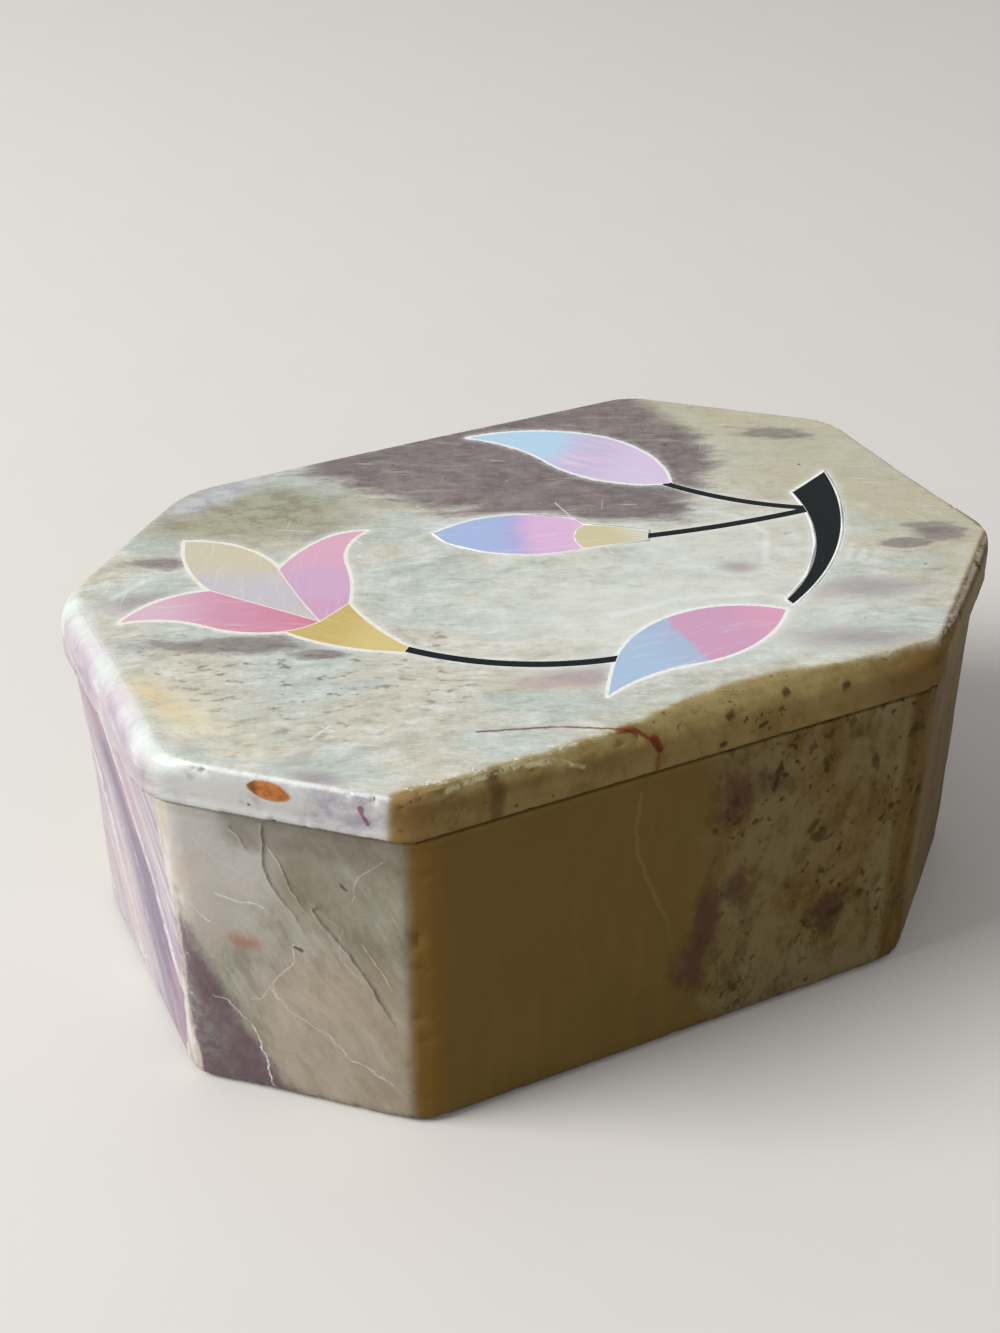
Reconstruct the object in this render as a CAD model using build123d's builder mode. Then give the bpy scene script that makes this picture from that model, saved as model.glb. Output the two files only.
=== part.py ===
from build123d import *
import os

# A carved soapstone trinket box: a hollowed octagonal base, a lift-off lid, and a flower spray of dyed
# shell and black stone let into the lid's top. Millimetres, +Z up. The origin is the middle of the
# underside of the base. +X runs along the box, and the flower is at its -X end.

# Base
base_length = 96.6
base_width = 68.2
base_height = 36.8
base_cut_along = 19.1
base_cut_across = 17.3
wall = 6.0
floor_thickness = 6.0
cavity_corner_rounding = 7.0
cavity_floor_rounding = 3.0
base_bottom_bevel = 0.7
base_rim_bevel = 0.4

# Lid
lid_end_overhang = 1.7
lid_side_inset = 0.2
lid_cut_along = 20.0
lid_cut_across = 17.7
lid_thickness = 5.0
lid_top_rounding = 2.0
lid_bottom_bevel = 0.4
step_depth = 2.5
step_clearance = 0.5
step_edge_bevel = 0.8

# The corners were rounded by hand, each by a different amount. Anticlockwise from above, from the left
# end of the front left cut.
base_corner_roundings = [4.5, 3.0, 6.0, 8.0, 7.0, 7.0, 9.0, 8.0]
lid_corner_roundings = [7.0, 3.0, 8.0, 8.0, 8.0, 9.0, 12.0, 11.0]

# Inlay
inlay_thickness = 1.4
cement_bed = 0.3
cement_line = 0.28
joint_line = 0.14
thin_stem_width = 1.05

# Clear stone between the flat top's edge and the spray
spray_gap_left = 3.3
spray_gap_right = 7.4
spray_gap_front = 5.4
spray_gap_back = 1.2

lid_length = base_length + 2 * lid_end_overhang
lid_width = base_width - 2 * lid_side_inset
lid_top_height = base_height + lid_thickness
recess_depth = inlay_thickness + cement_bed

spray_left = -lid_length / 2 + lid_top_rounding + spray_gap_left
spray_right = lid_length / 2 - lid_top_rounding - spray_gap_right
spray_front = -lid_width / 2 + lid_top_rounding + spray_gap_front
spray_back = lid_width / 2 - lid_top_rounding - spray_gap_back


def at(along, across):
    """A point of the spray on the lid, in percent of its length from the left and its width from the front."""
    return (
        spray_left + along / 100 * (spray_right - spray_left),
        spray_front + across / 100 * (spray_back - spray_front),
    )


def octagon(length, width, cut_along, cut_across):
    """The corners of the plan, anticlockwise from the left end of the front left cut."""
    x, y = length / 2, width / 2
    return [
        (-x, -y + cut_across),
        (-x + cut_along, -y),
        (x - cut_along, -y),
        (x, -y + cut_across),
        (x, y - cut_across),
        (x - cut_along, y),
        (-x + cut_along, y),
        (-x, y - cut_across),
    ]


def swept_side(start, through, join, end):
    """One long side of a petal, leaf or bud: two arcs that run into each other at join."""
    first = ThreePointArc(start, through, join)
    TangentArc(join, end, tangent=first % 1)


base_plan = octagon(base_length, base_width, base_cut_along, base_cut_across)
lid_plan = octagon(lid_length, lid_width, lid_cut_along, lid_cut_across)


# The hollow's outline, a wall's width inside the base's plan
with BuildSketch() as hollow:
    with BuildLine():
        Polyline(*base_plan, close=True)
    make_face()
    offset(amount=-wall, kind=Kind.INTERSECTION)
    fillet(hollow.vertices(), radius=cavity_corner_rounding)

# Base: one block, its eight sides ground upright, hollowed from above
with BuildPart() as base:
    with BuildSketch():
        with BuildLine():
            FilletPolyline(*base_plan, radius=base_corner_roundings, close=True)
        make_face()
    extrude(amount=base_height)
    chamfer(base.faces().sort_by(Axis.Z)[0].edges(), length=base_bottom_bevel)
    with BuildSketch(Plane.XY.offset(floor_thickness)):
        add(hollow.sketch)
    extrude(amount=base_height - floor_thickness, mode=Mode.SUBTRACT)
    cavity_floor = base.faces().filter_by(Axis.Z).sort_by(Axis.Z)[1]
    fillet(cavity_floor.edges(), radius=cavity_floor_rounding)
    rim = base.faces().sort_by(Axis.Z)[-1]
    chamfer(rim.edges(), length=base_rim_bevel)

# Spray: the points where its outlines meet
left_petal_tip = at(0.0, 59.4)
left_fork = at(12.5, 63.1)
middle_petal_tip = at(13.5, 82.9)
right_fork = at(22.0, 64.9)
right_petal_tip = at(36.0, 71.7)
petal_heart = at(22.2, 44.1)
calyx_left = at(17.5, 43.7)
calyx_right = at(27.0, 47.7)
calyx_end_back = at(29.7, 29.2)
calyx_end_front = at(28.8, 28.0)
leaf_tip = at(46.1, 0.0)
leaf_base = at(75.0, 10.8)
horn_end_inner = at(92.5, 48.8)
horn_end_outer = at(100.0, 53.8)
horn_foot_inner = at(76.4, 13.8)
horn_foot_outer = at(76.4, 11.7)
middle_bud_tip = at(43.7, 64.9)
bud_cup_back = at(62.6, 55.2)
bud_cup_front = at(59.7, 47.0)
bud_calyx_end_back = at(69.5, 47.6)
bud_calyx_end_front = at(68.2, 44.4)
back_bud_tip = at(59.5, 100.0)
back_bud_base = at(78.8, 63.1)

with BuildSketch() as petal_left:
    with BuildLine():
        ThreePointArc(left_petal_tip, at(6.0, 63.6), left_fork)
        ThreePointArc(left_fork, at(16.9, 54.5), petal_heart)
        ThreePointArc(petal_heart, at(19.8, 43.5), calyx_left)
        swept_side(calyx_left, at(12.9, 46.7), at(9.3, 51.6), left_petal_tip)
    make_face()

with BuildSketch() as petal_middle:
    with BuildLine():
        ThreePointArc(middle_petal_tip, at(11.7, 70.8), left_fork)
        ThreePointArc(left_fork, at(16.9, 54.5), petal_heart)
        ThreePointArc(petal_heart, at(21.9, 54.5), right_fork)
        ThreePointArc(right_fork, at(19.8, 75.5), middle_petal_tip)
    make_face()

with BuildSketch() as petal_right:
    with BuildLine():
        ThreePointArc(petal_heart, at(21.9, 54.5), right_fork)
        swept_side(right_fork, at(25.6, 69.1), at(29.4, 71.9), right_petal_tip)
        swept_side(right_petal_tip, at(32.1, 67.5), at(30.2, 61.2), calyx_right)
        Line(calyx_right, petal_heart)
    make_face()

with BuildSketch() as flower_calyx:
    with BuildLine():
        ThreePointArc(petal_heart, at(19.8, 43.5), calyx_left)
        ThreePointArc(calyx_left, at(22.7, 34.3), calyx_end_front)
        Line(calyx_end_front, calyx_end_back)
        ThreePointArc(calyx_end_back, at(27.9, 36.9), calyx_right)
        Line(calyx_right, petal_heart)
    make_face()

with BuildSketch() as lower_leaf:
    with BuildLine():
        swept_side(leaf_tip, at(48.2, 4.7), at(50.4, 9.0), leaf_base)
        swept_side(leaf_base, at(67.5, 3.3), at(58.9, 2.3), leaf_tip)
    make_face()

with BuildSketch() as main_stem:
    with BuildLine():
        ThreePointArc(horn_end_inner, at(87.6, 29.2), horn_foot_inner)
        Line(horn_foot_inner, horn_foot_outer)
        ThreePointArc(horn_foot_outer, at(93.2, 32.7), horn_end_outer)
        Line(horn_end_outer, horn_end_inner)
    make_face()

with BuildSketch() as middle_bud:
    with BuildLine():
        swept_side(middle_bud_tip, at(53.5, 65.7), at(61.8, 58.7), bud_cup_back)
        ThreePointArc(bud_cup_back, at(60.0, 51.9), bud_cup_front)
        swept_side(bud_cup_front, at(51.5, 50.3), at(45.3, 58.2), middle_bud_tip)
    make_face()

with BuildSketch() as middle_bud_calyx:
    with BuildLine():
        ThreePointArc(bud_cup_back, at(60.0, 51.9), bud_cup_front)
        ThreePointArc(bud_cup_front, at(63.7, 45.8), bud_calyx_end_front)
        Line(bud_calyx_end_front, bud_calyx_end_back)
        ThreePointArc(bud_calyx_end_back, at(66.2, 51.7), bud_cup_back)
    make_face()

with BuildSketch() as back_bud:
    with BuildLine():
        swept_side(back_bud_tip, at(68.0, 97.4), at(75.1, 90.9), back_bud_base)
        swept_side(back_bud_base, at(70.6, 70.6), at(66.4, 82.9), back_bud_tip)
    make_face()

# Thin stems: strips along an arc, cut off where they meet the pieces that they join
with BuildSketch() as flower_stem:
    with BuildLine():
        flower_stem_line = ThreePointArc(at(28.8, 29.5), at(39.0, 16.4), at(53.6, 9.1))
    trace(flower_stem_line, line_width=thin_stem_width)
    add(flower_calyx.sketch, mode=Mode.SUBTRACT)
    add(lower_leaf.sketch, mode=Mode.SUBTRACT)

with BuildSketch() as middle_bud_stem:
    with BuildLine():
        middle_stem_line = ThreePointArc(at(68.3, 46.0), at(79.2, 43.0), at(92.5, 41.3))
    trace(middle_stem_line, line_width=thin_stem_width)
    add(middle_bud_calyx.sketch, mode=Mode.SUBTRACT)
    add(main_stem.sketch, mode=Mode.SUBTRACT)

with BuildSketch() as back_bud_stem:
    with BuildLine():
        back_stem_line = ThreePointArc(at(78.1, 63.6), at(83.5, 52.4), at(91.8, 42.0))
    trace(back_stem_line, line_width=thin_stem_width)
    add(back_bud.sketch, mode=Mode.SUBTRACT)
    add(main_stem.sketch, mode=Mode.SUBTRACT)
    add(middle_bud_stem.sketch, mode=Mode.SUBTRACT)

bedded_groups = {
    "flower_cement": {
        "petal_left": petal_left,
        "petal_middle": petal_middle,
        "petal_right": petal_right,
        "flower_calyx": flower_calyx,
    },
    "lower_leaf_cement": {"lower_leaf": lower_leaf},
    "main_stem_cement": {"main_stem": main_stem},
    "middle_bud_cement": {"middle_bud": middle_bud, "middle_bud_calyx": middle_bud_calyx},
    "back_bud_cement": {"back_bud": back_bud},
}
thin_stems = {
    "flower_stem": flower_stem,
    "middle_bud_stem": middle_bud_stem,
    "back_bud_stem": back_bud_stem,
}

lid_top = Plane.XY.offset(lid_top_height)

# Each shell or stone piece of a group is cut a hair small, so that cement fills the joints
inlay = {}
for group in bedded_groups.values():
    for name, outline in group.items():
        with BuildPart() as piece:
            with BuildSketch(lid_top):
                add(outline.sketch)
                offset(amount=-joint_line / 2)
            extrude(amount=-inlay_thickness)
        inlay[name] = piece

for name, outline in thin_stems.items():
    with BuildPart() as strip:
        with BuildSketch(lid_top):
            add(outline.sketch)
        extrude(amount=-inlay_thickness)
    inlay[name] = strip

# One recess for each group, a cement line wider than its pieces. A later recess ends at an earlier one.
recesses = {}
for name, group in bedded_groups.items():
    with BuildSketch() as recess:
        for outline in group.values():
            add(outline.sketch)
        offset(amount=cement_line)
        for earlier in recesses.values():
            add(earlier.sketch, mode=Mode.SUBTRACT)
    recesses[name] = recess

# Cement: fills each recess under, round and between its pieces
cement = {}
for name, recess in recesses.items():
    with BuildPart() as filling:
        with BuildSketch(lid_top):
            add(recess.sketch)
        extrude(amount=-recess_depth)
        for piece in inlay.values():
            add(piece.part, mode=Mode.SUBTRACT)
    cement[name] = filling

# Lid: one slab with its top edge rounded over, a step below that drops into the hollow, and the recesses
with BuildPart() as lid:
    with BuildSketch(Plane.XY.offset(base_height)):
        with BuildLine():
            FilletPolyline(*lid_plan, radius=lid_corner_roundings, close=True)
        make_face()
    extrude(amount=lid_thickness)
    fillet(lid.faces().sort_by(Axis.Z)[-1].edges(), radius=lid_top_rounding)
    chamfer(lid.faces().sort_by(Axis.Z)[0].edges(), length=lid_bottom_bevel)
    with BuildSketch(Plane.XY.offset(base_height)):
        add(hollow.sketch)
        offset(amount=-step_clearance)
    extrude(amount=-step_depth)
    chamfer(lid.faces().sort_by(Axis.Z)[0].edges(), length=step_edge_bevel)
    with BuildSketch(lid_top):
        for recess in recesses.values():
            add(recess.sketch)
    extrude(amount=-recess_depth, mode=Mode.SUBTRACT)
    with BuildSketch(lid_top):
        for outline in thin_stems.values():
            add(outline.sketch)
    extrude(amount=-inlay_thickness, mode=Mode.SUBTRACT)

os.makedirs("parts", exist_ok=True)
for name, built in {"base": base, "lid": lid, **inlay, **cement}.items():
    built.part.label = name
    export_step(built.part, f"parts/{name}.step")
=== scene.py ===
import math

import bpy
import numpy as np
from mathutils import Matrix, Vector
from mathutils.kdtree import KDTree


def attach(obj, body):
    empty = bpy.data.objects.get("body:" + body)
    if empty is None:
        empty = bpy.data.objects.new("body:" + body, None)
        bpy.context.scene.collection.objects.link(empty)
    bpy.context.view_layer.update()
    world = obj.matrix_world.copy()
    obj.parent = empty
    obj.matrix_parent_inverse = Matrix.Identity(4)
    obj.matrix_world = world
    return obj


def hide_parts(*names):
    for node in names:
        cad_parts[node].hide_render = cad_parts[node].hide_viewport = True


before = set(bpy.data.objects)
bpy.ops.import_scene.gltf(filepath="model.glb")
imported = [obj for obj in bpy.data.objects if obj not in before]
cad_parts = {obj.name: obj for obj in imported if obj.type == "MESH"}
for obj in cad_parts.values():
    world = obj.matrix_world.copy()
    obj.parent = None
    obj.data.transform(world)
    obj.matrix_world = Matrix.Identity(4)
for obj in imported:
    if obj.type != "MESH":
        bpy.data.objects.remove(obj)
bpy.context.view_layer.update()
mm = 0.001

# Camera: held in the hand about 24 cm from the box, to the left of its front and above it. The picture
# is upright, so the angle of view is that of its height.
camera_place = (-81.13 * mm, -159.16 * mm, 145.37 * mm)
camera_direction = Vector((0.36327, 0.75281, -0.54892))
camera_view_angle = math.radians(39.0)
camera_nearest = 10 * mm

bpy.ops.object.camera_add(location=camera_place)
camera = bpy.context.object
camera.rotation_euler = camera_direction.to_track_quat("-Z", "Y").to_euler()
camera.data.angle = camera_view_angle
camera.data.clip_start = camera_nearest
bpy.context.scene.camera = camera
bpy.context.scene.view_settings.view_transform = "Standard"

# Light: a large soft lamp to the left of the box, a little behind it, as from a window, in a pale room.
lamp_place = Vector((-0.85, 0.2, 0.76))
lamp_size = 0.55
lamp_power = 12.5
room_colour = (0.97, 0.98, 1.0, 1.0)
room_strength = 0.42

bpy.ops.object.light_add(type="AREA", location=lamp_place)
lamp = bpy.context.object
lamp.rotation_euler = (-lamp_place).to_track_quat("-Z", "Y").to_euler()
lamp.data.size = lamp_size
lamp.data.energy = lamp_power
room = bpy.data.worlds.new("room")
room.use_nodes = True
room.node_tree.nodes["Background"].inputs["Color"].default_value = room_colour
room.node_tree.nodes["Background"].inputs["Strength"].default_value = room_strength
bpy.context.scene.world = room


class Shade:
    """One socket of a material's nodes. A sum of these adds the Math nodes that work it out."""

    def __init__(self, tree, socket):
        self.tree = tree
        self.socket = socket

    def node(self, kind, settings=None, inputs=None, output=0):
        """Adds a node, with its settings first and then what its sockets take, by their name or number."""
        made = self.tree.nodes.new("ShaderNode" + kind)
        for name, value in (settings or {}).items():
            setattr(made, name, value)
        for name, value in (inputs or {}).items():
            if isinstance(value, Shade):
                self.tree.links.new(value.socket, made.inputs[name])
            else:
                made.inputs[name].default_value = value
        return Shade(self.tree, made.outputs[output])

    def math(self, operation, *values, clamped=False):
        return self.node("Math", {"operation": operation, "use_clamp": clamped}, dict(enumerate(values)))

    def vector(self, operation, *values, output=0):
        return self.node("VectorMath", {"operation": operation}, dict(enumerate(values)), output)

    def __add__(self, other):
        return self.math("ADD", self, other)

    def __sub__(self, other):
        return self.math("SUBTRACT", self, other)

    def __rsub__(self, other):
        return self.math("SUBTRACT", other, self)

    def __mul__(self, other):
        return self.math("MULTIPLY", self, other)

    def __truediv__(self, other):
        return self.math("DIVIDE", self, other)

    __radd__ = __add__
    __rmul__ = __mul__

    def root(self):
        return self.math("SQRT", self)

    def size(self):
        return self.math("ABSOLUTE", self)

    def most(self, other):
        return self.math("MAXIMUM", self, other)

    def least(self, other):
        return self.math("MINIMUM", self, other)

    def rise(self, low, high):
        """Goes smoothly from 0 where this is low to 1 where it is high."""
        inputs = {"Value": self, "From Min": low, "From Max": high}
        return self.node("MapRange", {"interpolation_type": "SMOOTHSTEP"}, inputs)

    def fall(self, low, high):
        return 1 - self.rise(low, high)

    def blend(self, first, second):
        """The first colour where this is 0, the second where it is 1."""
        return self.node("Mix", {"data_type": "RGBA"}, {0: self, 6: first, 7: second}, output=2)


def paint(colour):
    """A colour as it looks on screen, its parts from 0 to 255, as the shader's own values."""
    screen = [part / 255 for part in colour]
    light = [part / 12.92 if part < 0.04045 else ((part + 0.055) / 1.055) ** 2.4 for part in screen]
    return (*light, 1.0)


class Finish:
    """A new material, whose patterns are laid over each other by place on the piece, in millimetres."""

    sway = None

    def __init__(self, name, colour):
        self.material = bpy.data.materials.new(name)
        self.material.use_nodes = True
        self.tree = self.material.node_tree
        self.shader = self.tree.nodes["Principled BSDF"]
        self.colour = paint(colour)
        place = Shade(self.tree, None).node("TexCoord", output=3)
        self.x, self.y, self.z = [self.part(place, axis) / mm for axis in range(3)]

    def part(self, vector, axis):
        return vector.node("SeparateXYZ", inputs={0: vector}, output=axis)

    def at(self, x, y, z=0.0):
        return self.x.node("CombineXYZ", inputs={0: x, 1: y, 2: z})

    def turned(self, turn, x=0.0, y=0.0):
        """How far the surface is from a place seen from above, along and across a direction in degrees."""
        cosine, sine = math.cos(math.radians(turn)), math.sin(math.radians(turn))
        along = (self.x - x) * cosine + (self.y - y) * sine
        return along, (self.y - y) * cosine - (self.x - x) * sine

    def noise(self, x, y, z=0.0, detail=3.0, roughness=0.55):
        """Soft noise from 0 to 1, with features about one unit across."""
        if self.sway is not None:
            x = x + self.sway
        inputs = {"Vector": self.at(x, y, z), "Scale": 1.0, "Detail": detail, "Roughness": roughness}
        return self.x.node("TexNoise", inputs=inputs)

    def specks(self, spacing, radius, seed=0.0):
        """Round specks, about one to a cell of the spacing, and smaller or none in some cells."""
        place = self.at(self.x / spacing + seed, self.y / spacing, self.z / spacing)
        cells = self.x.node("TexVoronoi", inputs={"Vector": place, "Scale": 1.0}).socket.node
        size = self.part(Shade(self.tree, cells.outputs["Color"]), 0).rise(0.3, 1.0) * (radius / spacing)
        away = Shade(self.tree, cells.outputs["Distance"])
        return (away - size).fall(-0.25 * radius / spacing, 0.0) * size.rise(0.0, 0.01)

    def off_line(self, place, points):
        """How far the surface is from a line through some points, in millimetres."""
        nearest = None
        for start, end in zip(points, points[1:]):
            start, end = Vector((*start, 0)), Vector((*end, 0))
            run = end - start
            gone = place.vector("SUBTRACT", place, start)
            share = gone.vector("DOT_PRODUCT", gone, run / run.length_squared, output=1)
            share = share.math("ADD", share, 0.0, clamped=True)
            step = share.node("VectorMath", {"operation": "SCALE"}, {0: run, "Scale": share})
            gap = gone.vector("LENGTH", gone.vector("SUBTRACT", gone, step), output=1)
            nearest = gap if nearest is None else nearest.least(gap)
        return nearest

    def lay(self, mask, colour):
        """Lays a colour over what is there, where the mask is 1."""
        self.colour = mask.blend(self.colour, paint(colour))

    def on(self, face):
        """A way to lay colours that keeps them to one face, which is given as a mask."""
        return lambda mask, colour: self.lay(face * mask, colour)

    def kept(self, name):
        """A number that the mesh keeps at its points."""
        return self.x.node("Attribute", {"attribute_name": name}, output=2)

    def finish(self, roughness, coat=0.0, coat_roughness=0.1, ior=1.45, height=None, depth=0.0):
        """Sets the shader, with a clear coat of wax or polish and a bump of a depth in millimetres."""
        for name, value in {
            "Base Color": self.colour,
            "Roughness": roughness,
            "IOR": ior,
            "Coat Weight": coat,
            "Coat Roughness": coat_roughness,
        }.items():
            if isinstance(value, Shade):
                self.tree.links.new(value.socket, self.shader.inputs[name])
            else:
                self.shader.inputs[name].default_value = value
        if height is not None:
            bump = height.node("Bump", inputs={"Strength": 1.0, "Distance": depth * mm, "Height": height})
            self.tree.links.new(bump.socket, self.shader.inputs["Normal"])

    def cover(self, piece):
        piece.data.materials.clear()
        piece.data.materials.append(self.material)


# Floor: a plain pale sheet that the box stands on. Light that it throws back is that of a mid-toned table.
floor_size = 4.0
floor_shown = (226, 222, 215)
floor_thrown = (150, 138, 124)

bpy.ops.mesh.primitive_plane_add(size=floor_size)
floor = bpy.context.object
floor.name = "floor"
floor_finish = Finish("floor_sheet", floor_shown)
mottle = floor_finish.noise(floor_finish.x * 0.05, floor_finish.y * 0.05)
seen = [mottle.node("LightPath", output=f"Is {kind} Ray") for kind in ("Camera", "Glossy")]
floor_finish.lay(mottle, (222, 219, 213))
floor_finish.lay(1 - seen[0].most(seen[1]), floor_thrown)
floor_finish.finish(roughness=0.9)
floor_finish.cover(floor)


# Base: one block of pale soapstone, sawn and ground by hand to a long octagon and hollowed from above.
# Its front left face has shallow ledges where flakes came away, and its edges are worn and chipped.
base_length = 96.6 * mm
base_width = 68.2 * mm
base_height = 36.8 * mm
base_cut_along = 19.1 * mm
base_cut_across = 17.3 * mm
base_roundings = [4.5, 5.0, 6.0, 8.0, 7.0, 7.0, 9.0, 8.0]
wall = 6.0 * mm
hollow_floor = 6.0 * mm
hollow_rounding = 7.0
hollow_floor_rounding = 3.0 * mm
base_grid = 0.6 * mm
base_edge_rounding = 0.5 * mm
base_rim_rounding = 0.2 * mm


def only(piece):
    """Selects one piece alone and makes it active."""
    bpy.ops.object.select_all(action="DESELECT")
    piece.select_set(True)
    bpy.context.view_layer.objects.active = piece


def octagon(length, width, cut_along, cut_across):
    """The corners of the plan, anticlockwise from the left end of the front left cut."""
    x, y = length / 2, width / 2
    return [
        (-x, -y + cut_across),
        (-x + cut_along, -y),
        (x - cut_along, -y),
        (x, -y + cut_across),
        (x, y - cut_across),
        (x - cut_along, y),
        (-x + cut_along, y),
        (-x, y - cut_across),
    ]


def sawn_block(name, plan, bottom, top, inside=0.0):
    """A block sawn to an eight-sided plan, or to what is left a set distance inside that plan."""
    length = 2 * max(x for x, y in plan)
    width = 2 * max(y for x, y in plan)
    bpy.ops.object.select_all(action="DESELECT")
    bpy.ops.mesh.primitive_cube_add(
        size=1,
        location=(0, 0, (bottom + top) / 2),
        scale=(length - 2 * inside, width - 2 * inside, top - bottom),
    )
    block = bpy.context.object
    block.name = name
    bpy.ops.object.transform_apply()
    bpy.ops.object.mode_set(mode="EDIT")
    for start, end in zip(plan[0::2], plan[1::2]):
        along = Vector((*end, 0)) - Vector((*start, 0))
        outward = Vector((along.y, -along.x, 0)).normalized()
        bpy.ops.mesh.select_all(action="SELECT")
        bpy.ops.mesh.bisect(
            plane_co=Vector((*start, 0)) - inside * outward,
            plane_no=outward,
            use_fill=True,
            clear_outer=True,
        )
    bpy.ops.object.mode_set(mode="OBJECT")
    return block


def pick(piece, kind, wanted):
    """Selects the edges or faces that pass a test, and leaves the piece in edit mode."""
    only(piece)
    bpy.ops.object.mode_set(mode="EDIT")
    bpy.ops.mesh.select_mode(type=kind)
    bpy.ops.mesh.select_all(action="DESELECT")
    bpy.ops.object.mode_set(mode="OBJECT")
    for part in piece.data.edges if kind == "EDGE" else piece.data.polygons:
        part.select = bool(wanted(part))
    bpy.ops.object.mode_set(mode="EDIT")


def round_edges(piece, wanted, offset, steps):
    """Rounds the edges whose two ends both pass a test."""
    points = piece.data.vertices
    pick(piece, "EDGE", lambda edge: all(wanted(points[end].co) for end in edge.vertices))
    bpy.ops.mesh.bevel(offset=offset, segments=steps, affect="EDGES")
    bpy.ops.object.mode_set(mode="OBJECT")


def round_upright_edges(block, plan, roundings):
    """Rounds the block's upright edges, each by its own radius in millimetres, in the plan's order."""
    corners = []
    for corner in plan:
        nearest = min(block.data.vertices, key=lambda vertex: (vertex.co.xy - Vector(corner)).length)
        corners.append(nearest.co.xy.copy())
    for before, place, after, rounding in zip(
        corners[-1:] + corners[:-1], corners, corners[1:] + corners[:1], roundings
    ):
        turn = (place - before).angle(after - place)
        round_edges(
            block,
            lambda point: (point.xy - place).length < 0.01 * mm,
            rounding * mm * math.tan(turn / 2),
            steps=8,
        )


def apply_modifier(piece, kind, **settings):
    """Adds a modifier with its settings and applies it."""
    only(piece)
    modifier = piece.modifiers.new(kind.lower(), kind)
    for name, value in settings.items():
        setattr(modifier, name, value)
    bpy.ops.object.modifier_apply(modifier=modifier.name)


def cut_away(piece, cutter, operation="DIFFERENCE", solver="EXACT"):
    """Cuts one block out of another, or joins it on, and throws the cutter away."""
    apply_modifier(piece, "BOOLEAN", object=cutter, operation=operation, solver=solver)
    bpy.data.objects.remove(cutter)


def points_of(piece):
    """The piece's points as rows of x, y and z."""
    places = np.empty(len(piece.data.vertices) * 3)
    piece.data.vertices.foreach_get("co", places)
    return places.reshape(-1, 3)


def move_points(piece, places):
    piece.data.vertices.foreach_set("co", places.ravel())
    piece.data.update()


def smooth_rise(low, high, value):
    """Goes smoothly from 0 where the value is low to 1 where it is high."""
    part = np.clip((value - low) / (high - low), 0, 1)
    return part * part * (3 - 2 * part)


def edge_distance(places, plan, bottom, top):
    """How far each point is from the nearest edge of a sawn block, along the block's face."""
    sides = []
    for start, end in zip(plan, plan[1:] + plan[:1]):
        along = np.array(end) - np.array(start)
        inward = np.array([-along[1], along[0]]) / np.linalg.norm(along)
        sides.append((places[:, :2] - start) @ inward)
    faces = np.sort(np.array(sides + [places[:, 2] - bottom, top - places[:, 2]]), axis=0)
    return np.where(faces[0] < 2 * mm, faces[1], 1)


def keep_on_points(piece, name, values):
    """Keeps a number at each point of the piece, for its material and for its modifiers."""
    piece.data.attributes.new(name, "FLOAT", "POINT").data.foreach_set("value", values)
    group = piece.vertex_groups.new(name=name)
    for index in np.flatnonzero(values > 0.01):
        group.add([int(index)], float(values[index]), "REPLACE")


def wear_down(piece, group, depth, across, share=1.0):
    """Lowers the surface in dips about as far across as given, over a share of the group's points."""
    dips = bpy.data.textures.new("dips", "CLOUDS")
    dips.noise_scale = across
    dips.use_color_ramp = True
    lowest, level = dips.color_ramp.elements
    lowest.position, level.position = 0.5 * share, share
    lowest.color, level.color = (0, 0, 0, 1), (1, 1, 1, 1)
    apply_modifier(
        piece,
        "DISPLACE",
        texture=dips,
        texture_coords="LOCAL",
        mid_level=1.0,
        strength=depth,
        vertex_group=group,
    )


base_plan = octagon(base_length, base_width, base_cut_along, base_cut_across)
base = sawn_block("base_stone", base_plan, 0, base_height)
round_upright_edges(base, base_plan, base_roundings)
round_edges(base, lambda point: point.z < 0.01 * mm, base_edge_rounding, steps=3)
hollow = sawn_block("hollow", base_plan, hollow_floor, base_height + 5 * mm, inside=wall)
round_upright_edges(hollow, base_plan, [hollow_rounding] * 8)
round_edges(hollow, lambda point: point.z < hollow_floor + 0.01 * mm, hollow_floor_rounding, steps=5)
cut_away(base, hollow)
round_edges(base, lambda point: point.z > base_height - 0.01 * mm, base_rim_rounding, steps=2)
apply_modifier(base, "REMESH", mode="VOXEL", voxel_size=base_grid)

# The front left face's cracks: from top to bottom, in millimetres along the face and above the floor.
# Right of each, the face lies lower and comes back up over some millimetres.
crack_paths = [
    [(10.4, 36.8), (10.2, 33.5), (10.0, 31.6), (10.4, 29.3), (11.1, 27.6), (13.0, 25.2), (14.3, 21.8)],
    [(10.2, 33.6), (11.2, 32.1), (12.1, 30.7), (12.7, 28.0), (13.9, 26.2), (14.9, 24.9)],
    [(14.6, 26.6), (15.2, 25.7), (17.0, 23.1), (18.4, 21.5), (20.2, 18.4), (22.0, 14.8), (23.2, 11.8)],
    [(6.9, 34.9), (7.7, 34.0), (8.4, 32.4), (9.3, 31.3)],
    [(19.6, 23.4), (20.6, 21.6), (21.6, 20.2), (22.9, 17.2)],
]
crack_depths = [0.16, 0.12, 0.22, 0.06, 0.08]
crack_returns = [2.4, 6.0, 5.0, 0.8, 1.5]
crack_reach = 0.9
crack_waver = 0.14


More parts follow.
